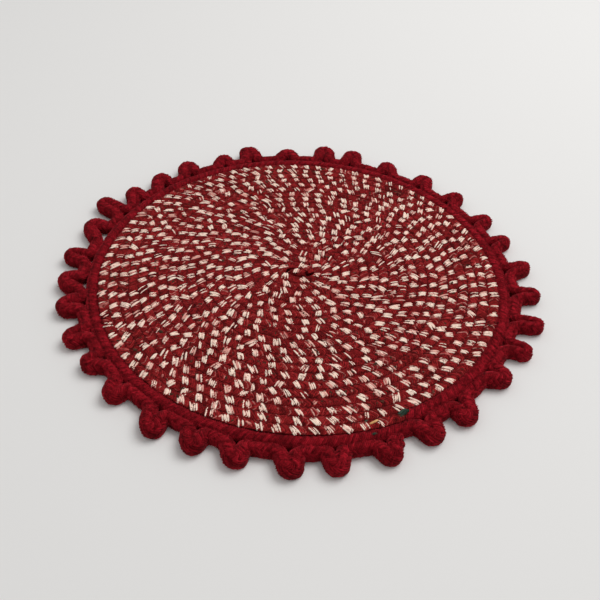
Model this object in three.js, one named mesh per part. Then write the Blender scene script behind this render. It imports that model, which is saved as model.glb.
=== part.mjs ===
// Round table coaster of braided wool cord, in millimetres, +Z up.
// A patterned cord is wound into a flat disc from the centre outward. A plain red cord goes on from
// its end: one plain turn round the disc, then one turn that is bent into side-by-side hairpin loops.
// The origin is the middle of the underside, and every cord lies on the plane z = 0.
// Angles are in degrees, counter-clockwise from +X as seen from above.

import * as THREE from 'three';

// Patterned disc
const COIL_TURNS = 20;
const COIL_PITCH = 4.85;
const COIL_END_ANGLE = 298;
const COIL_RIDGE_HEIGHT = 5.6;
const COIL_GROOVE_HEIGHT = 4.4;
const COIL_UNEVENNESS = 0.25;
const COIL_WAVES = [
  { lobes: 3, drift: 17 },
  { lobes: 5, drift: -11 },
];
const COIL_START_OFFSET = { x: -2.4, y: 1.5 };
const COIL_STEPS_PER_TURN = 48;
const TAPER_STEPS = 3;
const TAPER_WIDTH = 0.45;

// Red cord
const PLAIN_CORD = { width: 4.6, height: 5.5 };
const SEWN_CORD = { width: 4.3, height: 4.8 };
const LOOPED_CORD = { width: 5.4, height: 6.2 };
const SEAM_GAP = 0.35;
const PLAIN_STEPS = 64;
const PLAIN_START_ANGLE = 300;
const PLAIN_SWEEP = 356;
const LAST_END_ANGLE = 294.5;

// A cord's outline, as shares of half its width and of its height, flat where it lies on the table
const CORD_OUTLINE = [
  { across: -0.52, up: 0 },
  { across: 0.52, up: 0 },
  { across: 1, up: 0.3 },
  { across: 0.94, up: 0.68 },
  { across: 0.42, up: 1 },
  { across: -0.42, up: 1 },
  { across: -0.94, up: 0.68 },
  { across: -1, up: 0.3 },
];

// How a hairpin leaves the seam: the corner starts this far beside the leg and ends this far out,
// and takes up at most this share of the space to the next hairpin.
const CORNER_REACH = 2.8;
const CORNER_START = 0.8;
const CORNER_END = 3.2;
const CORNER_SHARE = 0.38;
const CORNER_ROUNDING = 0.25;
const FREE_GAP = CORNER_REACH / CORNER_SHARE;
const DIAGONAL = Math.SQRT1_2;

// One row for each hairpin, in the order in which the cord makes them.
// angle: middle of the hairpin. width: over both legs. reach: from the coaster's centre to the tip.
// lean: how far the tip is pushed round the rim, counter-clockwise. away: how far the cord stands off
// the plain turn there.
const HAIRPINS = [
  { angle: 301, width: 12.0, reach: 116.5, lean: 0.0, away: 0.0 },
  { angle: 312, width: 12.5, reach: 116.5, lean: -2.8, away: 0.0 },
  { angle: 325, width: 12.3, reach: 115.0, lean: 1.2, away: 0.0 },
  { angle: 336, width: 11.2, reach: 117.5, lean: 0.7, away: 0.0 },
  { angle: 345.5, width: 11.2, reach: 120.2, lean: 1.5, away: 0.0 },
  { angle: 356.5, width: 11.2, reach: 119.2, lean: 0.9, away: 0.0 },
  { angle: 366, width: 11.2, reach: 118.8, lean: 3.2, away: 0.0 },
  { angle: 378, width: 11.2, reach: 116.8, lean: 1.3, away: 0.0 },
  { angle: 388.5, width: 11.2, reach: 117.5, lean: 0.2, away: 0.0 },
  { angle: 401, width: 11.2, reach: 117.8, lean: -0.2, away: 0.0 },
  { angle: 412, width: 11.2, reach: 118.2, lean: 1.5, away: 0.0 },
  { angle: 424, width: 11.2, reach: 117.7, lean: 2.0, away: 0.0 },
  { angle: 436.5, width: 11.2, reach: 121.2, lean: 0.0, away: 0.0 },
  { angle: 445, width: 12.0, reach: 121.6, lean: 0.4, away: 0.0 },
  { angle: 457, width: 12.0, reach: 116.8, lean: -1.3, away: 0.0 },
  { angle: 468, width: 12.2, reach: 122.0, lean: 0.2, away: 0.0 },
  { angle: 477.5, width: 11.2, reach: 117.4, lean: -2.2, away: 0.0 },
  { angle: 489, width: 12.5, reach: 120.4, lean: -2.7, away: 0.0 },
  { angle: 499, width: 12.8, reach: 119.1, lean: -3.5, away: 0.0 },
  { angle: 509, width: 12.0, reach: 119.5, lean: -4.0, away: 0.0 },
  { angle: 516.5, width: 11.2, reach: 126.3, lean: -2.7, away: 1.0 },
  { angle: 527, width: 18.0, reach: 121.0, lean: -4.3, away: 2.0 },
  { angle: 538, width: 11.2, reach: 121.8, lean: -1.5, away: 2.0 },
  { angle: 548, width: 15.0, reach: 120.5, lean: -2.5, away: 0.8 },
  { angle: 555.5, width: 13.5, reach: 120.3, lean: 1.0, away: 0.0 },
  { angle: 566.5, width: 11.5, reach: 119.9, lean: 1.0, away: 0.0 },
  { angle: 577, width: 11.5, reach: 117.6, lean: -1.5, away: 0.0 },
  { angle: 586, width: 11.8, reach: 118.3, lean: 2.0, away: 0.0 },
  { angle: 598, width: 11.8, reach: 120.3, lean: 3.6, away: 0.0 },
  { angle: 608.5, width: 11.2, reach: 119.2, lean: 1.3, away: 0.0 },
  { angle: 617.5, width: 11.4, reach: 119.7, lean: 2.1, away: 0.0 },
  { angle: 629, width: 11.4, reach: 120.7, lean: 1.4, away: 0.0 },
  { angle: 639, width: 11.2, reach: 119.9, lean: -0.2, away: 0.0 },
  { angle: 650, width: 11.2, reach: 118.9, lean: 0.6, away: 0.0 },
];

// The red cord winds outward by its own width and a seam gap in each turn.
const PLAIN_START_RADIUS = COIL_TURNS * COIL_PITCH + SEAM_GAP + PLAIN_CORD.width / 2;
const RED_GROWTH = (PLAIN_CORD.width + SEWN_CORD.width) / 2 + SEAM_GAP;

const seamRadius = (angle) => PLAIN_START_RADIUS + (RED_GROWTH * (angle - COIL_END_ANGLE)) / 360;

function polar(radius, angle, height = 0) {
  const turn = THREE.MathUtils.degToRad(angle);
  return new THREE.Vector3(radius * Math.cos(turn), radius * Math.sin(turn), height);
}

// The cord's start lies a little beside the middle of the outer turns.
function coilPoint(radius, angle, height = 0) {
  const share = 1 - radius / (COIL_TURNS * COIL_PITCH);
  const point = polar(radius, angle, height);
  point.x += COIL_START_OFFSET.x * Math.max(share, 0);
  point.y += COIL_START_OFFSET.y * Math.max(share, 0);
  return point;
}

// Collects corners and faces of a closed mesh that is written face by face.
class Shell {
  constructor() {
    this.corners = [];
    this.faces = [];
  }

  corner(point) {
    this.corners.push(point.x, point.y, point.z);
    return this.corners.length / 3 - 1;
  }

  triangle(a, b, c) {
    this.faces.push(a, b, c);
  }

  quad(a, b, c, d) {
    this.triangle(a, b, c);
    this.triangle(a, c, d);
  }

  geometry() {
    const geometry = new THREE.BufferGeometry();
    geometry.setAttribute('position', new THREE.Float32BufferAttribute(this.corners, 3));
    geometry.setIndex(this.faces);
    geometry.computeVertexNormals();
    return geometry;
  }
}

// The wound cord lifts and sinks a little from one side of the disc to the other.
function unevenness(radius, angle) {
  const turn = THREE.MathUtils.degToRad(angle);
  const heights = COIL_WAVES.map(({ lobes, drift }) => Math.sin(lobes * turn + radius / drift));
  return (COIL_UNEVENNESS * (heights[0] + heights[1])) / 2;
}

// A disc with one ridge that winds outward: the groove line, and the ridge line half a pitch outside it.
function coilGeometry() {
  const shell = new Shell();
  const steps = COIL_STEPS_PER_TURN;
  const end = COIL_TURNS * steps;
  const angleAt = (i) => COIL_END_ANGLE + ((i - end) * 360) / steps;

  // The last steps are the cord's tapered end.
  const widthAt = (i) => {
    const left = Math.min(1, (end - i) / TAPER_STEPS);
    return COIL_PITCH * THREE.MathUtils.lerp(TAPER_WIDTH, 1, left);
  };
  const grooveRadius = (i) => {
    const inner = (COIL_PITCH * i) / steps;
    return i > end ? inner - COIL_PITCH + widthAt(i - steps) : inner;
  };

  const groove = [];
  const ridge = [];
  for (let i = 0; i <= end + steps; i += 1) {
    const radius = grooveRadius(i);
    groove.push(shell.corner(coilPoint(radius, angleAt(i), COIL_GROOVE_HEIGHT)));
  }
  for (let i = 0; i <= end; i += 1) {
    const radius = (COIL_PITCH * i) / steps + widthAt(i) / 2;
    const height = COIL_RIDGE_HEIGHT + unevenness(radius, angleAt(i));
    ridge.push(shell.corner(coilPoint(radius, angleAt(i), height)));
  }

  // Both slopes of the ridge
  for (let i = 0; i < end; i += 1) {
    shell.quad(groove[i], ridge[i], ridge[i + 1], groove[i + 1]);
    shell.quad(ridge[i], groove[i + steps], groove[i + steps + 1], ridge[i + 1]);
  }

  // The hollow inside the first turn, and the two end faces of the cord
  for (let i = 1; i < steps; i += 1) {
    shell.triangle(groove[0], groove[i], groove[i + 1]);
  }
  shell.triangle(groove[0], groove[steps], ridge[0]);
  shell.triangle(groove[end], ridge[end], groove[end + steps]);

  // The wall under the last groove line, and the flat underside
  const foot = [];
  for (let i = end; i <= end + steps; i += 1) {
    foot.push(shell.corner(coilPoint(grooveRadius(i), angleAt(i))));
  }
  const centre = shell.corner(polar(0, 0));
  for (let i = 0; i < steps; i += 1) {
    shell.quad(foot[i], foot[i + 1], groove[end + i + 1], groove[end + i]);
  }
  shell.quad(foot[steps], foot[0], groove[end], groove[end + steps]);
  for (let i = 0; i < steps - 1; i += 1) {
    shell.triangle(centre, foot[i + 1], foot[i]);
  }
  shell.triangle(centre, foot[0], foot[steps - 1]);
  shell.triangle(foot[0], foot[steps], foot[steps - 1]);
  return shell.geometry();
}

// Sweeps a cord along a level route of stations, with a flat cap at each end.
function cordGeometry(route) {
  const shell = new Shell();
  const rings = route.map(({ point, cord }, i) => {
    const before = route[Math.max(i - 1, 0)].point;
    const after = route[Math.min(i + 1, route.length - 1)].point;
    const along = new THREE.Vector3().subVectors(after, before).normalize();
    return CORD_OUTLINE.map(({ across, up }) => {
      const side = (across * cord.width) / 2;
      const offset = new THREE.Vector3(along.y * side, -along.x * side, up * cord.height);
      return shell.corner(offset.add(point));
    });
  });

  const sides = rings[0].length;
  for (let i = 0; i + 1 < rings.length; i += 1) {
    for (let k = 0; k < sides; k += 1) {
      const next = (k + 1) % sides;
      shell.quad(rings[i][k], rings[i + 1][k], rings[i + 1][next], rings[i][next]);
    }
  }
  const [first, last] = [rings[0], rings[rings.length - 1]];
  for (let k = 1; k + 1 < sides; k += 1) {
    shell.triangle(first[0], first[k], first[k + 1]);
    shell.triangle(last[0], last[k + 1], last[k]);
  }
  return shell.geometry();
}

// A point beside a hairpin's middle line: along runs round the rim, out is the distance from the seam.
function besideSeam(hairpin, along, out) {
  const seam = seamRadius(hairpin.angle) + hairpin.away;
  const height = hairpin.reach - LOOPED_CORD.width / 2 - seam;
  const lean = (hairpin.lean * out) / height;
  const base = polar(seam + out, hairpin.angle);
  const round = polar(1, hairpin.angle + 90);
  return base.addScaledVector(round, along + lean);
}

// The cord is pulled flat where it is sewn down, and full in the hairpins.
function cordAt(out) {
  const share = THREE.MathUtils.clamp(out / CORNER_END, 0, 1);
  return {
    width: THREE.MathUtils.lerp(SEWN_CORD.width, LOOPED_CORD.width, share),
    height: THREE.MathUtils.lerp(SEWN_CORD.height, LOOPED_CORD.height, share),
  };
}

// The route of one hairpin: up one leg, round the tip and down the other leg.
function hairpinRoute(hairpin, gapBefore, gapAfter) {
  const half = (hairpin.width - LOOPED_CORD.width) / 2;
  const tip = hairpin.reach - LOOPED_CORD.width / 2 - seamRadius(hairpin.angle) - hairpin.away;
  const cornerBefore = Math.min(CORNER_REACH, gapBefore * CORNER_SHARE);
  const cornerAfter = Math.min(CORNER_REACH, gapAfter * CORNER_SHARE);
  const radius = Math.min(half, tip - CORNER_END);
  const shoulder = tip - radius;
  const stations = [
    [-half - cornerBefore, CORNER_START],
    [-half - CORNER_ROUNDING * cornerBefore, CORNER_END],
    [-half, shoulder],
    [-half * DIAGONAL, tip - radius * (1 - DIAGONAL)],
    [0, tip],
    [half * DIAGONAL, tip - radius * (1 - DIAGONAL)],
    [half, shoulder],
    [half + CORNER_ROUNDING * cornerAfter, CORNER_END],
    [half + cornerAfter, CORNER_START],
  ];
  return stations.map(([along, out]) => ({ point: besideSeam(hairpin, along, out), cord: cordAt(out) }));
}

// The free distance along the seam between the legs of two neighbouring hairpins
function gapBetween(one, other) {
  const middle = (one.angle + other.angle) / 2;
  const apart = THREE.MathUtils.degToRad(other.angle - one.angle) * seamRadius(middle);
  return apart - (one.width + other.width) / 2 + LOOPED_CORD.width;
}

// The whole red cord: a plain turn that goes over into the turn of hairpins.
function redCordGeometry() {
  const route = [];
  for (let i = 0; i <= PLAIN_STEPS; i += 1) {
    const angle = PLAIN_START_ANGLE + (PLAIN_SWEEP * i) / PLAIN_STEPS;
    route.push({ point: polar(seamRadius(angle), angle), cord: PLAIN_CORD });
  }

  HAIRPINS.forEach((row, i) => {
    const hairpin = { ...row, angle: row.angle + 360 };
    const before = HAIRPINS[i - 1];
    const after = HAIRPINS[i + 1];
    const gapBefore = before ? gapBetween(before, row) : FREE_GAP;
    const gapAfter = after ? gapBetween(row, after) : FREE_GAP;
    route.push(...hairpinRoute(hairpin, gapBefore, gapAfter));
    if (after) {
      const middle = (row.angle + after.angle) / 2 + 360;
      const away = (row.away + after.away) / 2;
      route.push({ point: polar(seamRadius(middle) + away, middle), cord: SEWN_CORD });
    }
  });
  const endAngle = LAST_END_ANGLE + 720;
  route.push({ point: polar(seamRadius(endAngle), endAngle), cord: SEWN_CORD });
  return cordGeometry(route);
}

function piece(name, geometry, material) {
  const mesh = new THREE.Mesh(geometry, material);
  mesh.name = name;
  return mesh;
}

const patternedWool = new THREE.MeshStandardMaterial({ color: 0x8c3a3c, roughness: 0.95, metalness: 0 });
const redWool = new THREE.MeshStandardMaterial({ color: 0x681a1c, roughness: 0.95, metalness: 0 });

const coaster = new THREE.Group();
coaster.name = 'braided_coaster';
coaster.add(piece('patterned_coil', coilGeometry(), patternedWool));
coaster.add(piece('red_cord', redCordGeometry(), redWool));

export default coaster;
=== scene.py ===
import math

import bpy
import numpy as np
from mathutils import Matrix, Vector


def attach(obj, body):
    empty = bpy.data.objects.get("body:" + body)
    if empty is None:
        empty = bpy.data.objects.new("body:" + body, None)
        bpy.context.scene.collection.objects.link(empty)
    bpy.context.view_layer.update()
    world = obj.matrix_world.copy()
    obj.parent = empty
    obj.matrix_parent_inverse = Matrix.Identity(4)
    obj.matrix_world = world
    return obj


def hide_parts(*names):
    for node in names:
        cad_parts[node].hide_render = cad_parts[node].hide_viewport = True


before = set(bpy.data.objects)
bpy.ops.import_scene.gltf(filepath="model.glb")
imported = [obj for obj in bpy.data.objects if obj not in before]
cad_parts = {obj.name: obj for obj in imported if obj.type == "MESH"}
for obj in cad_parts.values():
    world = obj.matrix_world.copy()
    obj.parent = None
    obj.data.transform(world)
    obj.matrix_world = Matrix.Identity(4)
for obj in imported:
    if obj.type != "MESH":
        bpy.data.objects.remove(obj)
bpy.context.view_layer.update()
mm = 0.001
print("frame loaded")


# Plain maths on node sockets, for geometry and for materials
class Field:
    def __init__(self, tree, socket):
        self.tree = tree
        self.socket = socket

    def maths(self, operation, *others):
        node = self.tree.nodes.new("ShaderNodeMath")
        node.operation = operation
        for place, value in enumerate((self, *others)):
            feed(self.tree, node.inputs[place], value)
        return Field(self.tree, node.outputs[0])

    def __add__(self, other):
        return self.maths("ADD", other)

    def __sub__(self, other):
        return self.maths("SUBTRACT", other)

    def __mul__(self, other):
        return self.maths("MULTIPLY", other)

    def __truediv__(self, other):
        return self.maths("DIVIDE", other)

    def __neg__(self):
        return self.maths("MULTIPLY", -1.0)

    def __pow__(self, other):
        return self.maths("POWER", other)

    __radd__ = __add__
    __rmul__ = __mul__

    def sin(self):
        return self.maths("SINE")

    def cos(self):
        return self.maths("COSINE")

    def sqrt(self):
        return self.maths("SQRT")

    def floor(self):
        return self.maths("FLOOR")

    def modulo(self, other):
        return self.maths("MODULO", other)

    def atLeast(self, other):
        return self.maths("MAXIMUM", other)

    def atMost(self, other):
        return self.maths("MINIMUM", other)

    def size(self):
        return self.maths("ABSOLUTE")

    def over(self, other):
        return self.maths("GREATER_THAN", other)

    def under(self, other):
        return self.maths("LESS_THAN", other)


def feed(tree, socket, value):
    if isinstance(value, Field):
        tree.links.new(value.socket, socket)
    elif isinstance(value, bpy.types.NodeSocket):
        tree.links.new(value, socket)
    else:
        socket.default_value = value


def addNode(tree, kind, settings=None, inputs=None):
    node = tree.nodes.new(kind)
    for name, value in (settings or {}).items():
        setattr(node, name, value)
    for name, value in (inputs or {}).items():
        feed(tree, node.inputs[name], value)
    return node


# A geometry tree with named inputs: what goes in is a size, a count, a material or an object
def newShapeTree(name, inputs):
    kinds = {float: "NodeSocketFloat", int: "NodeSocketInt"}
    tree = bpy.data.node_groups.new(name, "GeometryNodeTree")
    tree.interface.new_socket("Geometry", in_out="OUTPUT", socket_type="NodeSocketGeometry")
    tree.interface.new_socket("Geometry", in_out="INPUT", socket_type="NodeSocketGeometry")
    for title, value in inputs.items():
        if isinstance(value, bpy.types.Material):
            kind = "NodeSocketMaterial"
        elif isinstance(value, bpy.types.Object):
            kind = "NodeSocketObject"
        else:
            kind = kinds[type(value)]
        tree.interface.new_socket(title, in_out="INPUT", socket_type=kind)
    given = tree.nodes.new("NodeGroupInput")
    fields = {title: Field(tree, given.outputs[title]) for title in ["Geometry", *inputs]}
    return tree, fields


def finishTree(tree, geometry, material):
    realized = addNode(tree, "GeometryNodeRealizeInstances", inputs={"Geometry": geometry})
    dressed = addNode(
        tree,
        "GeometryNodeSetMaterial",
        inputs={"Geometry": realized.outputs["Geometry"], "Material": material},
    )
    result = tree.nodes.new("NodeGroupOutput")
    tree.links.new(dressed.outputs["Geometry"], result.inputs["Geometry"])


# Runs a tree on a starting mesh and keeps the result as a plain mesh
def grow(name, tree, values, start=None):
    maker = bpy.data.objects.new(name + "Maker", start or bpy.data.meshes.new(name + "Start"))
    bpy.context.scene.collection.objects.link(maker)
    modifier = maker.modifiers.new("shape", "NODES")
    modifier.node_group = tree
    for item in tree.interface.items_tree:
        if item.in_out == "INPUT" and item.name in values:
            modifier[item.identifier] = values[item.name]
    graph = bpy.context.evaluated_depsgraph_get()
    mesh = bpy.data.meshes.new_from_object(maker.evaluated_get(graph))
    maker.modifiers.remove(modifier)
    bpy.data.objects.remove(maker)
    piece = bpy.data.objects.new(name, mesh)
    bpy.context.scene.collection.objects.link(piece)
    for face in mesh.polygons:
        face.use_smooth = True
    print(f"{name}: {sum(len(f.vertices) - 2 for f in mesh.polygons)} triangles")
    return piece


def gridOf(tree, columns, rows):
    grid = addNode(
        tree,
        "GeometryNodeMeshGrid",
        inputs={"Size X": 1.0, "Size Y": 1.0, "Vertices X": columns, "Vertices Y": rows},
    )
    index = Field(tree, tree.nodes.new("GeometryNodeInputIndex").outputs[0])
    column = ((index + 0.5) / rows).floor()
    row = index - column * rows
    return grid.outputs["Mesh"], column, row


def vectorOf(tree, x, y, z):
    return addNode(tree, "ShaderNodeCombineXYZ", inputs={"X": x, "Y": y, "Z": z}).outputs[0]


def randomOf(tree, low, high, key, seed):
    node = addNode(
        tree,
        "FunctionNodeRandomValue",
        {"data_type": "FLOAT"},
    )
    feed(tree, node.inputs[2], low)
    feed(tree, node.inputs[3], high)
    feed(tree, node.inputs["ID"], key)
    feed(tree, node.inputs["Seed"], seed)
    return Field(tree, node.outputs[1])


def keepNumber(tree, geometry, title, value):
    node = addNode(
        tree,
        "GeometryNodeStoreNamedAttribute",
        {"data_type": "FLOAT", "domain": "POINT"},
        {"Geometry": geometry, "Name": title, "Value": value},
    )
    return node.outputs["Geometry"]


def keepMap(tree, geometry, title, along, across):
    node = addNode(
        tree,
        "GeometryNodeStoreNamedAttribute",
        {"data_type": "FLOAT2", "domain": "CORNER"},
        {"Geometry": geometry, "Name": title, "Value": vectorOf(tree, along, across, 0.0)},
    )
    return node.outputs["Geometry"]


def mergeClose(tree, geometry, distance):
    node = addNode(
        tree, "GeometryNodeMergeByDistance", inputs={"Geometry": geometry, "Distance": distance}
    )
    return node.outputs["Geometry"]


# Wool: matt yarn, fine fibres along it, uneven dye, and painted shade towards the valleys between yarns
woolLook = {
    "roughness": 0.95,
    "specular": 0.03,
    "sheen": 0.02,
    "sheenRoughness": 0.6,
    "fibreAcross": 0.34 * mm,
    "fibreAlong": 1.6 * mm,
    "fibreDepth": 0.12 * mm,
    "mottleSize": 1.5 * mm,
    "mottleShare": 0.8,
}


def woolMaterial(name, shades, paintedValleyShade, contrast):
    look = woolLook
    material = bpy.data.materials.new(name)
    material.use_nodes = True
    tree = material.node_tree
    shader = tree.nodes["Principled BSDF"]
    shader.inputs["Roughness"].default_value = look["roughness"]
    shader.inputs["Sheen Weight"].default_value = look["sheen"]
    shader.inputs["Sheen Roughness"].default_value = look["sheenRoughness"]
    shader.inputs["Specular IOR Level"].default_value = look["specular"]

    # Fibres run along the yarn
    cordMap = addNode(tree, "ShaderNodeUVMap", {"uv_map": "cordMap"})
    apart = addNode(tree, "ShaderNodeSeparateXYZ", inputs={"Vector": cordMap.outputs["UV"]})
    fibreSpot = addNode(
        tree,
        "ShaderNodeCombineXYZ",
        inputs={
            "X": Field(tree, apart.outputs["X"]) / look["fibreAcross"],
            "Y": Field(tree, apart.outputs["Y"]) / look["fibreAlong"],
            "Z": 0.0,
        },
    )
    fibres = addNode(
        tree,
        "ShaderNodeTexNoise",
        inputs={"Vector": fibreSpot.outputs[0], "Scale": 1.0, "Detail": 3.0, "Roughness": 0.6},
    )
    place = addNode(tree, "ShaderNodeTexCoord")
    mottle = addNode(
        tree,
        "ShaderNodeTexNoise",
        inputs={"Vector": place.outputs["Object"], "Scale": 1 / look["mottleSize"], "Detail": 3.0},
    )
    tone = addNode(tree, "ShaderNodeAttribute", {"attribute_name": "tone"})
    crest = addNode(tree, "ShaderNodeAttribute", {"attribute_name": "crest"})

    # Each yarn has its own shade from the dye lot, and the fibres break it up
    ramp = addNode(tree, "ShaderNodeValToRGB", inputs={"Fac": tone.outputs["Fac"]})
    bands = ramp.color_ramp
    bands.elements[0].position = shades[0][0]
    bands.elements[0].color = (*shades[0][1], 1)
    bands.elements[1].position = shades[-1][0]
    bands.elements[1].color = (*shades[-1][1], 1)
    for position, colour in shades[1:-1]:
        bands.elements.new(position).color = (*colour, 1)
    light = (
        (Field(tree, fibres.outputs["Fac"]) - 0.5) * contrast
        + (Field(tree, mottle.outputs["Fac"]) - 0.5) * (contrast * look["mottleShare"])
        + 1.0
    )
    # Painted shade: the colour is darkened in the valleys between yarns and on the lower sides of
    # floats, down to the given valley level at the darkest
    light = light.atLeast(0.15) * (Field(tree, crest.outputs["Fac"]) * (1 - paintedValleyShade) + paintedValleyShade)
    tint = addNode(
        tree,
        "ShaderNodeVectorMath",
        {"operation": "SCALE"},
        {0: ramp.outputs["Color"], "Scale": light},
    )
    tree.links.new(tint.outputs["Vector"], shader.inputs["Base Color"])
    bump = addNode(
        tree,
        "ShaderNodeBump",
        inputs={"Strength": 0.6, "Distance": look["fibreDepth"], "Height": fibres.outputs["Fac"]},
    )
    tree.links.new(bump.outputs["Normal"], shader.inputs["Normal"])
    return material


# The number after the shades is how dark the painted valley shade gets; the last number is the fibre
# contrast
groundWool = woolMaterial(
    "groundWool",
    [
        (0.0, (0.10, 0.006, 0.006)),
        (0.3, (0.21, 0.010, 0.011)),
        (0.75, (0.32, 0.016, 0.018)),
        (0.93, (0.42, 0.034, 0.034)),
        (1.0, (0.62, 0.26, 0.22)),
    ],
    0.4,
    2.4,
)
borderWool = woolMaterial(
    "borderWool",
    [(0.0, (0.17, 0.004, 0.008)), (0.5, (0.30, 0.007, 0.014)), (1.0, (0.44, 0.012, 0.024))],
    0.4,
    2.4,
)
creamWool = woolMaterial(
    "creamWool",
    [
        (0.0, (0.62, 0.22, 0.19)),
        (0.2, (0.84, 0.46, 0.38)),
        (0.34, (1.0, 0.72, 0.60)),
        (1.0, (1.0, 0.83, 0.68)),
    ],
    0.8,
    1.2,
)
fleckWool = woolMaterial(
    "fleckWool",
    [
        (0.0, (0.03, 0.028, 0.015)),
        (0.45, (0.07, 0.03, 0.018)),
        (0.55, (0.16, 0.05, 0.035)),
        (0.65, (0.55, 0.16, 0.14)),
        (1.0, (0.85, 0.42, 0.34)),
    ],
    0.6,
    1.6,
)
greenWool = woolMaterial(
    "greenWool", [(0.0, (0.012, 0.022, 0.015)), (1.0, (0.055, 0.09, 0.065))], 0.5, 1.6
)
goldWool = woolMaterial("goldWool", [(0.0, (0.62, 0.30, 0.10)), (1.0, (0.85, 0.50, 0.24))], 0.7, 1.2)
print("wool ready")


# The patterned cord: one line of yarn after the other across the ridge, wound from the middle out
coil = {
    "turns": 20,
    "pitch": 4.85 * mm,
    "endAngle": 298.0,
    "ridge": 5.5 * mm,
    "groove": 5.12 * mm,
    "under": 2.4 * mm,
    "lowest": 0.15 * mm,
    "unevenness": 0.125 * mm,
    "lump": 0.5 * mm,
    "lumpSize": 2.2 * mm,
    "startX": -2.4 * mm,
    "startY": 1.5 * mm,
    "startSkip": 3.0 * mm,
    "stretch": 3.6 * mm,
    "stretchReach": 14 * mm,
    "lineSpacing": 1.043 * mm,
    "lean": 0.85,
    "apex": 0.9 * mm,
    "relief": 0.13 * mm,
    "archPower": 0.8,
    "halfWidth": 0.497,
    "lowGroove": 1.6 * mm,
    "skinGap": 0.1 * mm,
    "waves": (17 * mm, 11 * mm),
    "edgeAllowance": 2.4 * mm,
    "merge": 0.0005 * mm,
    "seed": 4,
}


def coilLength():
    theta = coil["turns"] * 2 * math.pi
    pitch = coil["pitch"]
    return pitch * theta * theta / (4 * math.pi) + pitch * theta / 2


# Angle turned, and the place, at a distance along the wound cord
def turnedAt(along, pitch):
    root = (along.atLeast(0.0) * 4 / (pitch * math.pi) + 1.0).sqrt()
    return (root - 1.0) * math.pi


def spiralPlace(tree, theta, across, up, pitch):
    radius = theta * pitch / (2 * math.pi) + pitch * 0.5 + across
    angle = theta + math.radians(coil["endAngle"])
    share = (-radius / (coil["turns"] * coil["pitch"]) + 1.0).atLeast(0.0)
    stretch = (radius / -coil["stretchReach"]).maths("EXPONENT") * coil["stretch"]
    x = (radius + stretch) * angle.cos() + share * coil["startX"]
    y = radius * angle.sin() + share * coil["startY"]
    longWave, shortWave = coil["waves"]
    wave = (angle * 3 + radius / longWave).sin() + (angle * 5 - radius / shortWave).sin()
    return vectorOf(tree, x, y, up + wave * coil["unevenness"]), angle


# How far along the cord a yarn has run where it is this far across: out one way, then back
def leanAt(across, lean, apex):
    return (across.atMost(apex) - (across - apex).atLeast(0.0)) * lean


def makeGroundTree(lower):
    names = {
        "Lines": 1,
        "Line Spacing": 0.0,
        "Pitch": 0.0,
        "Top": 0.0,
        "Edge": 0.0,
        "Back": 0.0,
        "Lean": 0.0,
        "Apex": 0.0,
        "Relief": 0.0,
        "Lump": 0.0,
        "Seed": 1,
        "Material": groundWool,
    }
    tree, given = newShapeTree("lowerCord" if lower else "upperCord", names)
    arc = 4 if lower else 6
    rows = arc + 3
    columns = given["Lines"] * 2 + 1.0
    mesh, column, row = gridOf(tree, columns, rows)
    row = row.modulo(rows - 1.0)
    onBack = row.over(arc + 0.5)
    isCap = (column.under(0.5) + column.over(given["Lines"] * 2 - 0.5)).atMost(1.0)
    turn = row * (math.pi / arc)
    side = turn.cos() * (onBack * -1.0 + 1.0) * (isCap * -1.0 + 1.0)
    arch = (turn.sin().atLeast(0.0) ** coil["archPower"]) * (onBack * -1.0 + 1.0)
    line = (column * 0.5).floor()
    ridge = (column.modulo(2.0) * 2 - 1.0) * (isCap * -1.0 + 1.0)
    uneven = randomOf(tree, -0.5, 0.6, line, given["Seed"])
    across = side * given["Pitch"] * coil["halfWidth"]
    along = column * given["Line Spacing"] * 0.5 + coil["startSkip"]
    theta = turnedAt(along + leanAt(across, given["Lean"], given["Apex"]), given["Pitch"])
    rise = given["Top"] - given["Edge"]
    up = given["Edge"] + rise * arch + (given["Back"] - given["Edge"]) * onBack
    flat, _ = spiralPlace(tree, theta, across, 0.0, given["Pitch"])
    lump = addNode(
        tree, "ShaderNodeTexNoise", inputs={"Vector": flat, "Scale": 1 / coil["lumpSize"], "Detail": 1.0}
    )
    bulge = (ridge + uneven) * given["Relief"]
    bulge = bulge + (Field(tree, lump.outputs["Fac"]) - 0.5) * given["Lump"]
    bulge = bulge * (onBack * -1.0 + 1.0)
    up = (up - bulge) if lower else (up + bulge)
    place, _ = spiralPlace(tree, theta, across, up, given["Pitch"])
    moved = addNode(tree, "GeometryNodeSetPosition", inputs={"Geometry": mesh, "Position": place})
    mapped = keepMap(tree, moved.outputs["Geometry"], "cordMap", along, across)
    toned = keepNumber(tree, mapped, "tone", randomOf(tree, 0.0, 1.0, line, given["Seed"] + 7.0))
    # Painted shade: the valley columns between yarn lines get a low value and are darkened in the wool
    # colour
    toned = keepNumber(tree, toned, "crest", ridge * 0.5 + 0.5)
    closed = mergeClose(tree, toned, coil["merge"])
    if lower:
        flipped = addNode(tree, "GeometryNodeFlipFaces", inputs={"Mesh": closed})
        closed = flipped.outputs["Mesh"]
    finishTree(tree, closed, given["Material"])
    return tree


def groundValues(top, edge, back):
    lines = int((coilLength() - coil["startSkip"]) / coil["lineSpacing"])
    return {
        "Lines": lines,
        "Line Spacing": coil["lineSpacing"],
        "Pitch": coil["pitch"],
        "Top": top,
        "Edge": edge,
        "Back": back,
        "Lean": coil["lean"],
        "Apex": coil["apex"],
        "Relief": coil["relief"],
        "Lump": coil["lump"],
        "Seed": coil["seed"],
        "Material": groundWool,
    }


coilTop = grow(
    "coilTop", makeGroundTree(False), groundValues(coil["ridge"], coil["groove"], coil["under"])
)
coilUnderside = grow(
    "coilUnderside",
    makeGroundTree(True),
    groundValues(coil["lowest"], coil["lowGroove"], coil["under"] - coil["skinGap"]),
)


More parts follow.
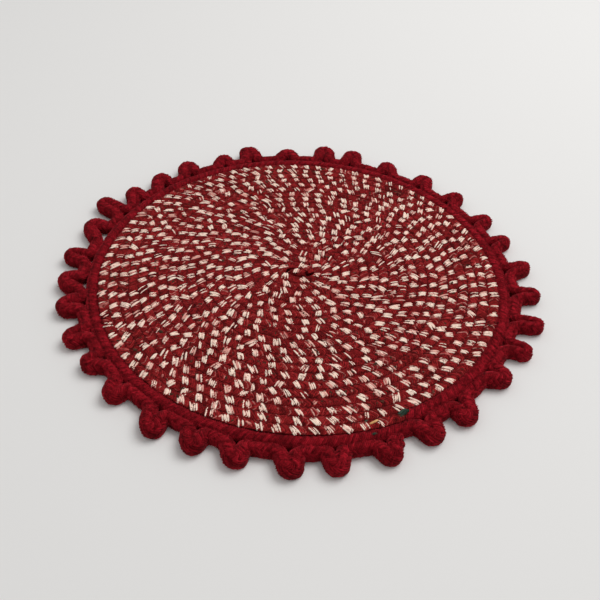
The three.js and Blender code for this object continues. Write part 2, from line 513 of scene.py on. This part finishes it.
# One float of yarn: it comes up out of the braid, runs a short way and goes down again
yarn = {
    "length": 4.1 * mm,
    "width": 1.04 * mm,
    "height": 0.5 * mm,
    "sunk": 0.3 * mm,
    "marks": (-1.0, -0.8, -0.3, 0.3, 0.8, 1.0),
    "sides": 5,
}


def yarnFloat(name):
    corners = []
    faces = []
    sides = yarn["sides"]
    turns = [2 * math.pi * s / sides + math.pi / 2 for s in range(sides)]
    for mark in yarn["marks"]:
        ends = abs(mark) ** 4
        wide, high = (yarn[k] / 2 * (1 - 0.5 * ends) for k in ("width", "height"))
        for turn in turns:
            corners.append(
                (
                    math.cos(turn) * wide,
                    mark * yarn["length"] / 2,
                    math.sin(turn) * high - ends * yarn["sunk"],
                )
            )
    for first in range(0, len(corners) - sides, sides):
        for s in range(sides):
            a, b = first + s, first + (s + 1) % sides
            faces.append((b, a, a + sides, b + sides))
    faces.append(tuple(range(sides)))
    faces.append(tuple(reversed(range(len(corners) - sides, len(corners)))))
    mesh = bpy.data.meshes.new(name)
    mesh.from_pydata(corners, [], faces)
    layer = mesh.uv_layers.new(name="cordMap")
    for face in mesh.polygons:
        for corner in face.loop_indices:
            point = mesh.vertices[mesh.loops[corner].vertex_index].co
            layer.data[corner].uv = (point.x - point.z, point.y)
    # Painted shade: the top of each float keeps its full colour and the lower sides are darkened
    crest = mesh.attributes.new("crest", "FLOAT", "POINT")
    for number in range(len(corners)):
        crest.data[number].value = 0.5 + 0.5 * math.sin(turns[number % sides])
    shape = bpy.data.objects.new(name, mesh)
    bpy.context.scene.collection.objects.link(shape)
    return shape


# The blocks follow each other in even steps all along the cord
blockPeriod = 7.3 * mm


# Blocks of floats side by side on the coil, each block at its own slant, a few floats missing
def makeBlockTree(sample):
    names = {
        "Blocks": 1,
        "Yarns": 1,
        "Period": 0.0,
        "Offset": 0.0,
        "Wander": 0.0,
        "Shift": 0.0,
        "Yarn Step": 0.0,
        "Length": 1.0,
        "Slant": 0.0,
        "Slant Spread": 0.0,
        "Turned Share": 0.0,
        "Split Share": 0.0,
        "Empty Share": 0.0,
        "Missing": 0.0,
        "Level": 0.0,
        "Pitch": 0.0,
        "Cord Length": 0.0,
        "Corners": 0.0,
        "Seed": 1,
        "Yarn": sample,
        "Material": creamWool,
    }
    tree, given = newShapeTree("yarnBlocks", names)
    seed = given["Seed"]
    index = Field(tree, tree.nodes.new("GeometryNodeInputIndex").outputs[0])
    number = ((index + 0.5) / given["Yarns"]).floor()
    place = index - number * given["Yarns"] - (given["Yarns"] - 1.0) * 0.5
    turned = randomOf(tree, 0.0, 1.0, number, seed).under(given["Turned Share"]) * -2.0 + 1.0
    slant = randomOf(tree, -1.0, 1.0, number, seed + 1.0) * given["Slant Spread"] + given["Slant"]
    slant = slant * turned
    split = randomOf(tree, 0.0, 1.0, number, seed + 2.0).under(given["Split Share"])
    step = place * given["Yarn Step"] * (split * 0.3 + 1.0)
    slide = step * 0.5 * slant.sin() / slant.cos()
    wander = randomOf(tree, -1.0, 1.0, number, seed + 3.0) * given["Wander"]
    along = (number + given["Offset"]) * given["Period"] + wander
    along = along + step / slant.cos() - slide * slant.sin()
    along = along + randomOf(tree, -0.07 * mm, 0.07 * mm, index, seed + 4.0)
    across = given["Shift"] - slide * slant.cos()
    across = across + randomOf(tree, -0.3 * mm, 0.3 * mm, number, seed + 5.0)
    across = across + randomOf(tree, -0.25 * mm, 0.25 * mm, index, seed + 6.0)
    sink = randomOf(tree, -0.1 * mm, 0.1 * mm, index, seed + 7.0)
    spot, angle = spiralPlace(
        tree, turnedAt(along, given["Pitch"]), across, given["Level"] + sink, given["Pitch"]
    )
    points = addNode(
        tree,
        "GeometryNodePoints",
        inputs={"Count": given["Blocks"] * given["Yarns"], "Position": spot},
    )
    there = randomOf(tree, 0.0, 1.0, index, seed + 8.0).over(given["Missing"] + split * 0.2)
    empty = randomOf(tree, 0.0, 1.0, number, seed + 9.0).under(given["Empty Share"])
    inside = along.over(2 * mm) * along.under(given["Cord Length"] - 1.5 * mm)
    tone = randomOf(tree, 0.0, 1.0, index, seed + 10.0) * 0.5
    tone = tone + randomOf(tree, 0.0, 1.0, number, seed + 11.0) * 0.5
    toned = keepNumber(tree, points.outputs[0], "tone", tone)
    outer = place * place * given["Corners"] + 1.0
    longer = randomOf(tree, 0.78, 1.06, index, seed + 12.0) * outer * given["Length"] / slant.cos()
    size = vectorOf(
        tree,
        randomOf(tree, 0.92, 1.12, index, seed + 13.0) * (split * -0.2 + 1.0),
        longer * randomOf(tree, 0.86, 1.08, number, seed + 14.0),
        1.0,
    )
    ownSlant = slant + randomOf(tree, -0.12, 0.12, index, seed + 15.0)
    asked = addNode(tree, "GeometryNodeObjectInfo", inputs={"Object": given["Yarn"]})
    placed = addNode(
        tree,
        "GeometryNodeInstanceOnPoints",
        inputs={
            "Points": toned,
            "Selection": there * (empty * -1.0 + 1.0) * inside,
            "Instance": asked.outputs["Geometry"],
            "Rotation": vectorOf(tree, 0.0, 0.0, ownSlant + angle + math.pi / 2),
            "Scale": size,
        },
    )
    finishTree(tree, placed.outputs["Instances"], given["Material"])
    return tree


floatShape = yarnFloat("floatShape")
blockTree = makeBlockTree(floatShape)


def makeBlocks(name, look):
    values = {
        "Blocks": int(coilLength() / look["Period"]),
        "Pitch": coil["pitch"],
        "Cord Length": coilLength(),
        "Yarn": floatShape,
        **look,
    }
    return grow(name, blockTree, values)


creamBlocks = makeBlocks(
    "creamBlocks",
    {
        "Yarns": 4,
        "Period": blockPeriod,
        "Offset": 0.0,
        "Wander": 0.4 * mm,
        "Shift": 0.3 * mm,
        "Yarn Step": 0.67 * mm,
        "Length": 0.97,
        "Corners": 0.07,
        "Slant": math.radians(26),
        "Slant Spread": math.radians(14),
        "Turned Share": 0.12,
        "Split Share": 0.22,
        "Empty Share": 0.05,
        "Missing": 0.09,
        "Level": coil["ridge"] - 0.02 * mm,
        "Seed": 12,
        "Material": creamWool,
    },
)
redFloats = makeBlocks(
    "redFloats",
    {
        "Yarns": 4,
        "Period": blockPeriod,
        "Offset": 0.5,
        "Wander": 0.6 * mm,
        "Shift": 0.0,
        "Yarn Step": 0.98 * mm,
        "Length": 0.95,
        "Slant": math.radians(34),
        "Slant Spread": math.radians(14),
        "Turned Share": 0.6,
        "Split Share": 0.1,
        "Empty Share": 0.0,
        "Missing": 0.08,
        "Level": coil["ridge"] - 0.12 * mm,
        "Seed": 61,
        "Material": groundWool,
    },
)
fleckFloats = makeBlocks(
    "fleckFloats",
    {
        "Yarns": 2,
        "Period": 3.65 * mm,
        "Offset": 0.55,
        "Wander": 1.5 * mm,
        "Shift": 0.0,
        "Yarn Step": 0.8 * mm,
        "Length": 0.5,
        "Slant": math.radians(30),
        "Slant Spread": math.radians(30),
        "Turned Share": 0.5,
        "Split Share": 0.0,
        "Empty Share": 0.35,
        "Missing": 0.45,
        "Level": coil["ridge"] - 0.06 * mm,
        "Seed": 133,
        "Material": fleckWool,
    },
)


# Single yarns that lie where they were pushed: each row as place, height, direction, length, width
strayYarns = {
    "startBlock": (
        creamWool,
        [(-3.9, 1.2, 5.6, 70, 3.4, 1.1), (-3.0, 1.3, 5.7, 74, 3.8, 1.1), (-2.1, 1.4, 5.6, 78, 3.2, 1.1)],
    ),
    "greenTip": (
        greenWool,
        [
            (45.6, -87.4, 5.5, 47, 6.8, 1.5),
            (44.9, -86.6, 5.7, 43, 5.2, 1.3),
            (46.7, -86.9, 5.4, 50, 5.0, 1.3),
            (32.9, -99.0, 5.6, 20, 2.6, 1.2),
            (29.6, -92.7, 5.3, 50, 3.2, 1.4),
            (43.4, -61.3, 5.6, 10, 2.4, 1.2),
        ],
    ),
    "goldYarn": (
        goldWool,
        [(32.4, -93.4, 5.8, 30, 3.4, 1.2), (33.6, -92.6, 5.8, 35, 3.0, 1.2)],
    ),
}


def layYarns(name, material, rows):
    corners, faces = [], []
    sample = floatShape.data
    for x, y, height, direction, length, width in rows:
        long, wide = length * mm / yarn["length"], width * mm / yarn["width"]
        turn = math.radians(direction - 90)
        first = len(corners)
        for vertex in sample.vertices:
            px, py, pz = vertex.co
            px, py = px * wide, py * long
            corners.append(
                (
                    x * mm + px * math.cos(turn) - py * math.sin(turn),
                    y * mm + px * math.sin(turn) + py * math.cos(turn),
                    height * mm + pz * wide,
                )
            )
        faces += [[first + k for k in face.vertices] for face in sample.polygons]
    mesh = bpy.data.meshes.new(name)
    mesh.from_pydata(corners, [], faces)
    each = len(sample.vertices)
    tones = mesh.attributes.new("tone", "FLOAT", "POINT")
    # The sample float's painted shade is copied onto every stray yarn
    paintedShadeFactors = mesh.attributes.new("crest", "FLOAT", "POINT")
    for number in range(len(corners)):
        tones.data[number].value = (number // each * 0.37 + 0.3) % 1.0
        paintedShadeFactors.data[number].value = sample.attributes["crest"].data[number % each].value
    layer = mesh.uv_layers.new(name="cordMap")
    source = sample.uv_layers["cordMap"]
    for number in range(len(layer.data)):
        layer.data[number].uv = source.data[number % len(source.data)].uv
    mesh.materials.append(material)
    for face in mesh.polygons:
        face.use_smooth = True
    piece = bpy.data.objects.new(name, mesh)
    bpy.context.scene.collection.objects.link(piece)
    return piece


strayPieces = [layYarns(name, *rest) for name, rest in strayYarns.items()]
bpy.data.objects.remove(floatShape)


# The red cord: one plain turn, then a turn of hairpins, each row as angle, width over both legs,
# reach from the centre, lean round the rim, and how far it stands off the plain turn
redCord = {
    "seamGap": 0.35 * mm,
    "plain": (6.8 * mm, 5.6 * mm),
    "sewn": (6.5 * mm, 5.5 * mm),
    "looped": (7.3 * mm, 6.6 * mm),
    "fullness": 0.8,
    "loopedShare": 0.6,
    "solidWidths": (4.6 * mm, 4.3 * mm, 5.4 * mm),
    "plainStart": 297.2,
    "plainEnd": 656.0,
    "lastEnd": 294.5,
    "cornerReach": 2.5 * mm,
    "cornerStart": 0.3 * mm,
    "cornerEnd": 3.2 * mm,
    "cornerShare": 0.38,
    "cornerRounding": 0.25,
    "stationStep": 0.8 * mm,
    "lineSpacing": 0.86 * mm,
    "zigzags": 3,
    "lean": 1.15 * mm,
    "relief": 0.27 * mm,
    "lump": 0.5 * mm,
    "lumpSize": 2.6 * mm,
    "around": 24,
    "legsPerLine": 16,
    "plunge": 0.9,
    "flatCut": 0.95,
    "cap": 2.5 * mm,
    "merge": 0.004 * mm,
    "seed": 21,
}
hairpins = [
    (301, 12.0, 116.5, 0.0, 0.0),
    (312, 12.5, 116.5, -2.8, -0.4),
    (325, 12.3, 115.0, 1.2, -0.6),
    (336, 9.2, 117.5, 0.7, -0.6),
    (345.5, 8.8, 120.2, 1.5, 0.0),
    (356.5, 8.6, 119.2, 0.9, 1.2),
    (366, 8.8, 118.8, 3.2, 0.6),
    (378, 8.8, 116.8, 1.3, 0.0),
    (388.5, 9.2, 117.5, 0.2, 0.0),
    (401, 9.6, 117.8, -0.2, 0.0),
    (412, 11.2, 118.2, 1.5, 0.5),
    (424, 11.2, 117.7, 2.0, 0.6),
    (436.5, 11.2, 121.2, 0.0, 0.9),
    (445, 12.0, 121.6, 0.4, 0.9),
    (457, 12.0, 116.8, -1.3, 0.9),
    (468, 12.2, 122.0, 0.2, 0.9),
    (477.5, 11.2, 117.4, -2.2, 0.9),
    (489, 12.5, 120.4, -2.7, 0.9),
    (499, 12.8, 119.1, -3.5, 0.9),
    (509, 12.0, 119.5, -4.0, 0.9),
    (516.5, 11.2, 126.3, -2.7, 0.6),
    (527, 16.5, 121.0, -4.3, 1.0),
    (538, 11.2, 121.8, -1.5, 1.2),
    (548, 15.0, 120.5, -2.5, 0.8),
    (555.5, 13.5, 120.3, 1.0, 0.0),
    (566.5, 11.5, 119.9, 1.0, -0.8),
    (577, 11.5, 117.6, -1.5, -0.8),
    (586, 11.8, 118.3, 2.0, -0.8),
    (598, 11.8, 120.3, 3.6, -0.8),
    (608.5, 11.2, 119.2, 1.3, -0.8),
    (617.5, 11.4, 119.7, 2.1, -0.2),
    (629, 11.4, 120.7, 1.4, -0.2),
    (639, 11.2, 119.9, -0.2, -0.9),
    (650, 11.2, 118.9, 0.6, -0.9),
]


def seamRadius(angle):
    plain, sewn, _ = redCord["solidWidths"]
    start = coil["turns"] * coil["pitch"] + redCord["seamGap"] + plain / 2
    growth = (plain + sewn) / 2 + redCord["seamGap"]
    return start + growth * (angle - coil["endAngle"]) / 360


def onCircle(radius, angle):
    turn = math.radians(angle)
    return np.array([radius * math.cos(turn), radius * math.sin(turn)])


def cordSizeAt(out, looped):
    share = min(max(out / redCord["cornerEnd"], 0), 1)
    sewn = np.array(redCord["sewn"])
    return sewn + (np.array(looped) - sewn) * share


def hairpinStations(pin, gapBefore, gapAfter):
    angle, width, reach, lean, away = pin
    width, reach, lean, away = (value * mm for value in (width, reach, lean, away))
    drawn = min(redCord["looped"][0], width * redCord["loopedShare"])
    half = (width - drawn) / 2
    seam = seamRadius(angle + 360) + away
    tip = reach - drawn / 2 - seam
    before = min(redCord["cornerReach"], gapBefore * redCord["cornerShare"])
    after = min(redCord["cornerReach"], gapAfter * redCord["cornerShare"])
    start, end, rounding = (redCord[k] for k in ("cornerStart", "cornerEnd", "cornerRounding"))
    radius = min(half, tip - end)
    diagonal = math.sqrt(0.5)
    table = [
        (-half - before, start),
        (-half - rounding * before, end),
        (-half, tip - radius),
        (-half * diagonal, tip - radius * (1 - diagonal)),
        (0, tip),
        (half * diagonal, tip - radius * (1 - diagonal)),
        (half, tip - radius),
        (half + rounding * after, end),
        (half + after, start),
    ]
    stations = []
    for along, out in table:
        spot = onCircle(seam + out, angle + 360)
        spot = spot + onCircle(1, angle + 450) * (along + lean * out / tip)
        stations.append((*spot, *cordSizeAt(out, (drawn, redCord["looped"][1]))))
    return stations


def loopedStations():
    stations = []
    for i, pin in enumerate(hairpins):
        gaps = []
        previous = hairpins[i - 1] if i else None
        following = hairpins[i + 1] if i + 1 < len(hairpins) else None
        for other in (previous, following):
            if other is None:
                gaps.append(redCord["cornerReach"] / redCord["cornerShare"])
                continue
            middle = (pin[0] + other[0]) / 2
            apart = math.radians(abs(other[0] - pin[0])) * seamRadius(middle)
            gaps.append(apart - (pin[1] + other[1]) / 2 * mm + redCord["solidWidths"][2])
        stations += hairpinStations(pin, *gaps)
        if i + 1 < len(hairpins):
            after = hairpins[i + 1]
            middle = (pin[0] + after[0]) / 2 + 360
            away = (pin[4] + after[4]) / 2 * mm
            spot = onCircle(seamRadius(middle) + away, middle)
            stations.append((*spot, *redCord["sewn"]))
    last = redCord["lastEnd"] + 720
    stations.append((*onCircle(seamRadius(last), last), *redCord["sewn"]))
    return stations


def plainStations():
    stations = []
    for angle in np.linspace(redCord["plainStart"], redCord["plainEnd"] - 4, 120):
        stations.append((*onCircle(seamRadius(angle), angle), *redCord["plain"]))
    return stations


# A smooth route through the stations, with the cord's width and height kept at each point
def smoothRoute(name, stations, step):
    rows = np.array(stations)
    rows = np.vstack([2 * rows[0] - rows[1], rows, 2 * rows[-1] - rows[-2]])
    fine = []
    for k in range(1, len(rows) - 2):
        a, b, c, d = rows[k - 1 : k + 3]
        gap = np.linalg.norm((c - b)[:2])
        count = max(int(gap / step), 2)
        knots = [np.sqrt(max(np.linalg.norm((q - p)[:2]), 1e-6)) for p, q in ((a, b), (b, c), (c, d))]
        slopeB = ((b - a) / knots[0] - (c - a) / (knots[0] + knots[1]) + (c - b) / knots[1]) * knots[1]
        slopeC = ((c - b) / knots[1] - (d - b) / (knots[1] + knots[2]) + (d - c) / knots[2]) * knots[1]
        for t in np.arange(count) / count:
            fine.append(
                (2 * t**3 - 3 * t**2 + 1) * b
                + (t**3 - 2 * t**2 + t) * slopeB
                + (3 * t**2 - 2 * t**3) * c
                + (t**3 - t**2) * slopeC
            )
    fine.append(rows[-2])
    fine = np.array(fine)
    mesh = bpy.data.meshes.new(name)
    points = [(x, y, 0.0) for x, y in fine[:, :2]]
    mesh.from_pydata(points, [(i, i + 1) for i in range(len(points) - 1)], [])
    for title, column in (("cordWidth", 2), ("cordHeight", 3)):
        layer = mesh.attributes.new(title, "FLOAT", "POINT")
        layer.data.foreach_set("value", fine[:, column].astype(np.float32))
    length = np.linalg.norm(np.diff(fine[:, :2], axis=0), axis=1).sum()
    return mesh, length


def makeCordTree():
    names = {
        "Lines": 1,
        "Around": 1,
        "Zigzags": 1,
        "Lean": 0.0,
        "Relief": 0.0,
        "Lump": 0.0,
        "Fullness": 1.0,
        "Cap": 0.0,
        "Seed": 1,
        "Material": borderWool,
    }
    tree, given = newShapeTree("braidedCord", names)
    route = addNode(tree, "GeometryNodeMeshToCurve", inputs={"Mesh": given["Geometry"]})
    route = route.outputs["Curve"]
    length = Field(tree, addNode(tree, "GeometryNodeCurveLength", inputs={"Curve": route}).outputs[0])
    columns = given["Lines"] * 2 + 1.0
    mesh, column, row = gridOf(tree, columns, given["Around"] + 1.0)
    turn = row * (2 * math.pi) / given["Around"]
    part = row * given["Zigzags"] / given["Around"]
    wave = (part.maths("FRACT") * 2 - 1.0).size()
    line = (column * 0.5).floor()
    ridge = column.modulo(2.0) * 2 - 1.0
    leg = (part * 2).floor().modulo(given["Zigzags"] * 2) + line * redCord["legsPerLine"]
    uneven = randomOf(tree, -0.6, 0.6, leg, given["Seed"])
    share = column / (given["Lines"] * 2)
    atEnd = (share.under(1e-7) + share.over(1 - 1e-7)).atMost(1.0)
    fromEnd = share.atMost(share * -1.0 + 1.0) * length
    taper = (fromEnd / given["Cap"]).atMost(1.0)
    taper = ((taper * -1.0 + 1.0) ** 2 * -1.0 + 1.0).atLeast(0.0).sqrt()
    along = (share * length + (wave * 2 - 1.0) * given["Lean"]).atLeast(0.0).atMost(length)
    reads = {}
    for title in ("cordWidth", "cordHeight"):
        asked = addNode(tree, "GeometryNodeInputNamedAttribute", {"data_type": "FLOAT"}, {"Name": title})
        node = addNode(
            tree, "GeometryNodeSampleCurve", {"mode": "LENGTH", "data_type": "FLOAT"}
        )
        feed(tree, node.inputs["Curves"], route)
        feed(tree, node.inputs["Length"], along)
        feed(tree, node.inputs["Value"], asked.outputs["Attribute"])
        reads[title] = Field(tree, node.outputs["Value"])
    spot = addNode(tree, "ShaderNodeSeparateXYZ", inputs={"Vector": node.outputs["Position"]})
    ahead = addNode(tree, "ShaderNodeSeparateXYZ", inputs={"Vector": node.outputs["Tangent"]})
    tx, ty = Field(tree, ahead.outputs["X"]), Field(tree, ahead.outputs["Y"])
    plunge = (part * 2).maths("FRACT") * 2 - 1.0
    plunge = plunge * plunge
    lump = addNode(
        tree,
        "ShaderNodeTexNoise",
        inputs={
            "Vector": vectorOf(tree, share * length, turn.cos() * 3 * mm, turn.sin() * 3 * mm),
            "Scale": 1 / redCord["lumpSize"],
            "Detail": 1.0,
        },
    )
    bulge = (ridge + uneven - plunge * redCord["plunge"]) * given["Relief"]
    bulge = bulge + (Field(tree, lump.outputs["Fac"]) - 0.5) * given["Lump"]
    wide = (reads["cordWidth"] * 0.5 + bulge) * taper * (atEnd * -1.0 + 1.0)
    high = (reads["cordHeight"] * 0.5 + bulge) * taper * (atEnd * -1.0 + 1.0)
    side = turn.cos().maths("SIGN") * turn.cos().size() ** given["Fullness"] * wide
    lift = turn.sin().maths("SIGN") * turn.sin().size() ** given["Fullness"]
    # The lowest part is cut flat, where the cord lies on the table
    lift = lift.atLeast(-redCord["flatCut"]) * high + reads["cordHeight"] * (redCord["flatCut"] / 2)
    x = Field(tree, spot.outputs["X"]) + ty * side
    y = Field(tree, spot.outputs["Y"]) - tx * side
    z = Field(tree, spot.outputs["Z"]) + lift
    moved = addNode(
        tree,
        "GeometryNodeSetPosition",
        inputs={"Geometry": mesh, "Position": vectorOf(tree, x, y, z)},
    )
    mapped = keepMap(
        tree, moved.outputs["Geometry"], "cordMap", share * length, turn * reads["cordWidth"] * 0.5
    )
    toned = keepNumber(tree, mapped, "tone", randomOf(tree, 0.0, 1.0, leg, given["Seed"] + 3.0))
    # Painted shade: darker in the valleys between yarn lines and where each leg dips under
    toned = keepNumber(tree, toned, "crest", (ridge * 0.5 + 0.5) * (plunge * -0.5 + 1.0))
    finishTree(tree, mergeClose(tree, toned, redCord["merge"]), given["Material"])
    return tree


cordTree = makeCordTree()


def makeCord(name, stations, seed, material):
    mesh, length = smoothRoute(name + "Route", stations, redCord["stationStep"])
    print(f"{name}: {length / mm:.0f} mm of cord")
    values = {
        "Lines": int(length / redCord["lineSpacing"]),
        "Around": redCord["around"],
        "Zigzags": redCord["zigzags"],
        "Lean": redCord["lean"],
        "Relief": redCord["relief"],
        "Lump": redCord["lump"],
        "Fullness": redCord["fullness"],
        "Cap": redCord["cap"],
        "Seed": seed,
        "Material": material,
    }
    return grow(name, cordTree, values, mesh)


redCordPiece = makeCord("redCord", plainStations() + loopedStations(), redCord["seed"], borderWool)

# The patterned cord starts as a short straight end inside its own first turn, and its tucked tail
# lies low beside that end, where it closes the slit
cordStart = {
    "size": (5.0 * mm, 5.5 * mm),
    "marks": ((-7.6, 0.9), (-4.4, 1.2), (-0.6, 1.5), (2.6, 1.7)),
    "seed": 5,
}
cordTail = {
    "size": (6.4 * mm, 3.2 * mm),
    "marks": ((-7.0, -2.2), (-3.0, -3.0), (1.5, -3.0), (6.5, -1.4)),
    "seed": 6,
}


def startCord(name, look):
    stations = [(x * mm, y * mm, *look["size"]) for x, y in look["marks"]]
    return makeCord(name, stations, look["seed"], groundWool)


coilStart = startCord("coilStart", cordStart)
coilTail = startCord("coilTail", cordTail)


# Loose fibres that stand a little off the wool: one small arched strand, scattered many times
fuzz = {
    "length": 1.8 * mm,
    "width": 0.15 * mm,
    "lift": 0.28 * mm,
    "sunk": 0.06 * mm,
    "sides": 3,
    "leastFacing": -0.1,
}


def fibreStrand(name):
    sides = fuzz["sides"]
    corners = []
    faces = []
    for mark in (-1, 0, 1):
        middle = 1 - abs(mark)
        rise = middle * (fuzz["lift"] + fuzz["sunk"]) - fuzz["sunk"]
        radius = fuzz["width"] / 2 * (0.5 + 0.5 * middle)
        for s in range(sides):
            turn = 2 * math.pi * s / sides + math.pi / 2
            corners.append(
                (math.cos(turn) * radius, mark * fuzz["length"] / 2, math.sin(turn) * radius + rise)
            )
    for first in range(0, len(corners) - sides, sides):
        for s in range(sides):
            a, b = first + s, first + (s + 1) % sides
            faces.append((b, a, a + sides, b + sides))
    faces.append(tuple(range(sides)))
    faces.append(tuple(reversed(range(len(corners) - sides, len(corners)))))
    mesh = bpy.data.meshes.new(name)
    mesh.from_pydata(corners, [], faces)
    layer = mesh.uv_layers.new(name="cordMap")
    for face in mesh.polygons:
        for corner in face.loop_indices:
            point = mesh.vertices[mesh.loops[corner].vertex_index].co
            layer.data[corner].uv = (point.x, point.y)
    # Loose strands get no painted shade
    crest = mesh.attributes.new("crest", "FLOAT", "POINT")
    for number in range(len(corners)):
        crest.data[number].value = 1.0
    shape = bpy.data.objects.new(name, mesh)
    bpy.context.scene.collection.objects.link(shape)
    return shape


def makeFuzzTree(strand):
    names = {
        "Density": 0.0,
        "Least Size": 0.0,
        "Most Size": 0.0,
        "Least Tone": 0.0,
        "Facing": 0.0,
        "Seed": 1,
        "Strand": strand,
        "Material": borderWool,
    }
    tree, given = newShapeTree("looseFibres", names)
    seed = given["Seed"]
    index = Field(tree, tree.nodes.new("GeometryNodeInputIndex").outputs[0])
    normal = tree.nodes.new("GeometryNodeInputNormal")
    apart = addNode(tree, "ShaderNodeSeparateXYZ", inputs={"Vector": normal.outputs["Normal"]})
    scattered = addNode(
        tree,
        "GeometryNodeDistributePointsOnFaces",
        inputs={
            "Mesh": given["Geometry"],
            "Selection": Field(tree, apart.outputs["Z"]).over(given["Facing"]),
            "Density": given["Density"],
            "Seed": seed,
        },
    )
    points = scattered.outputs["Points"]
    for title in ("cordMap", "crest"):
        dropped = addNode(
            tree, "GeometryNodeRemoveAttribute", inputs={"Geometry": points, "Name": title}
        )
        points = dropped.outputs["Geometry"]
    points = keepNumber(
        tree, points, "tone", randomOf(tree, given["Least Tone"], 1.0, index, seed + 1.0)
    )
    swing = vectorOf(tree, 0.0, 0.0, randomOf(tree, 0.0, 2 * math.pi, index, seed + 2.0))
    lying = addNode(
        tree,
        "FunctionNodeRotateRotation",
        {"rotation_space": "LOCAL"},
        {"Rotation": scattered.outputs["Rotation"], "Rotate By": swing},
    )
    size = randomOf(tree, given["Least Size"], given["Most Size"], index, seed + 3.0)
    asked = addNode(tree, "GeometryNodeObjectInfo", inputs={"Object": given["Strand"]})
    placed = addNode(
        tree,
        "GeometryNodeInstanceOnPoints",
        inputs={
            "Points": points,
            "Instance": asked.outputs["Geometry"],
            "Rotation": lying.outputs["Rotation"],
            "Scale": vectorOf(tree, size, size, size),
        },
    )
    finishTree(tree, placed.outputs["Instances"], given["Material"])
    return tree


strandShape = fibreStrand("strandShape")
fuzzTree = makeFuzzTree(strandShape)


def makeFuzz(name, piece, look):
    values = {"Facing": fuzz["leastFacing"], "Strand": strandShape, **look}
    return grow(name, fuzzTree, values, piece.data.copy())


rimFuzz = makeFuzz(
    "rimFuzz",
    redCordPiece,
    {
        "Density": 0.32 / mm**2,
        "Least Size": 0.6,
        "Most Size": 1.2,
        "Least Tone": 0.1,
        "Seed": 41,
        "Material": borderWool,
    },
)
coilFuzz = makeFuzz(
    "coilFuzz",
    coilTop,
    {
        "Density": 0.25 / mm**2,
        "Least Size": 0.7,
        "Most Size": 1.6,
        "Least Tone": 0.0,
        "Seed": 57,
        "Material": groundWool,
    },
)
bpy.data.objects.remove(strandShape)


# Floor, light and camera
studio = {
    "floorColour": (0.84, 0.83, 0.815),
    "keyPower": 9.8,
    "keySize": 0.9,
    "keyPlace": (0.6, 0.4, 1.15),
    "fillStrength": 0.5,
    "fillColour": (1.0, 1.0, 1.0),
    "focal": 777.0,
    "elevation": 42.5,
    "roll": 3.06,
    "cameraPlace": (-0.46 * mm, -297.5 * mm, 259.3 * mm),
}


def makeFloor():
    mesh = bpy.data.meshes.new("floor")
    reach = 6.0
    mesh.from_pydata(
        [(-reach, -reach, 0), (reach, -reach, 0), (reach, reach, 0), (-reach, reach, 0)],
        [],
        [(0, 1, 2, 3)],
    )
    material = bpy.data.materials.new("paleFloor")
    material.use_nodes = True
    shader = material.node_tree.nodes["Principled BSDF"]
    shader.inputs["Base Color"].default_value = (*studio["floorColour"], 1)
    shader.inputs["Roughness"].default_value = 0.9
    shader.inputs["Specular IOR Level"].default_value = 0.1
    mesh.materials.append(material)
    floor = bpy.data.objects.new("floor", mesh)
    bpy.context.scene.collection.objects.link(floor)
    return floor


def makeLight():
    lamp = bpy.data.lights.new("softKey", "AREA")
    lamp.size = studio["keySize"]
    lamp.energy = studio["keyPower"]
    holder = bpy.data.objects.new("softKey", lamp)
    holder.location = studio["keyPlace"]
    aim = Vector((0, 0, 0)) - holder.location
    holder.rotation_mode = "QUATERNION"
    holder.rotation_quaternion = aim.to_track_quat("-Z", "Y")
    bpy.context.scene.collection.objects.link(holder)
    world = bpy.data.worlds.new("studioWorld")
    world.use_nodes = True
    sky = world.node_tree.nodes["Background"]
    sky.inputs["Color"].default_value = (*studio["fillColour"], 1)
    sky.inputs["Strength"].default_value = studio["fillStrength"]
    bpy.context.scene.world = world


def makeCamera():
    camera = bpy.data.cameras.new("camera")
    camera.sensor_width = 36.0
    camera.lens = studio["focal"] * 36.0 / 600
    camera.clip_start = 0.01
    holder = bpy.data.objects.new("camera", camera)
    tilt, roll = math.radians(studio["elevation"]), math.radians(studio["roll"])
    forward = Vector((0, math.cos(tilt), -math.sin(tilt)))
    right = Vector((1, 0, 0))
    up = Vector((0, math.sin(tilt), math.cos(tilt)))
    across = math.cos(roll) * right + math.sin(roll) * up
    upward = math.cos(roll) * up - math.sin(roll) * right
    turn = Matrix((across, upward, -forward)).transposed().to_4x4()
    holder.matrix_world = Matrix.Translation(studio["cameraPlace"]) @ turn
    bpy.context.scene.collection.objects.link(holder)
    bpy.context.scene.camera = holder


makeFloor()
makeLight()
makeCamera()
bpy.context.scene.view_settings.view_transform = "Standard"
print("studio ready")

# Everything belongs to the one rigid body
for piece, slot in (
    (coilTop, "patterned_wool"),
    (coilUnderside, "patterned_wool"),
    (creamBlocks, "patterned_wool"),
    (redFloats, "patterned_wool"),
    (fleckFloats, "patterned_wool"),
    (coilStart, "patterned_wool"),
    (coilTail, "patterned_wool"),
    (coilFuzz, "patterned_wool"),
    *((piece, "patterned_wool") for piece in strayPieces),
    (redCordPiece, "red_wool"),
    (rimFuzz, "red_wool"),
):
    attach(piece, "root")
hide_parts("patterned_coil")
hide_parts("red_cord")
discAcross = 2 * coil["turns"] * coil["pitch"] + 2 * coil["edgeAllowance"]
math.pi * (discAcross / 2) ** 2
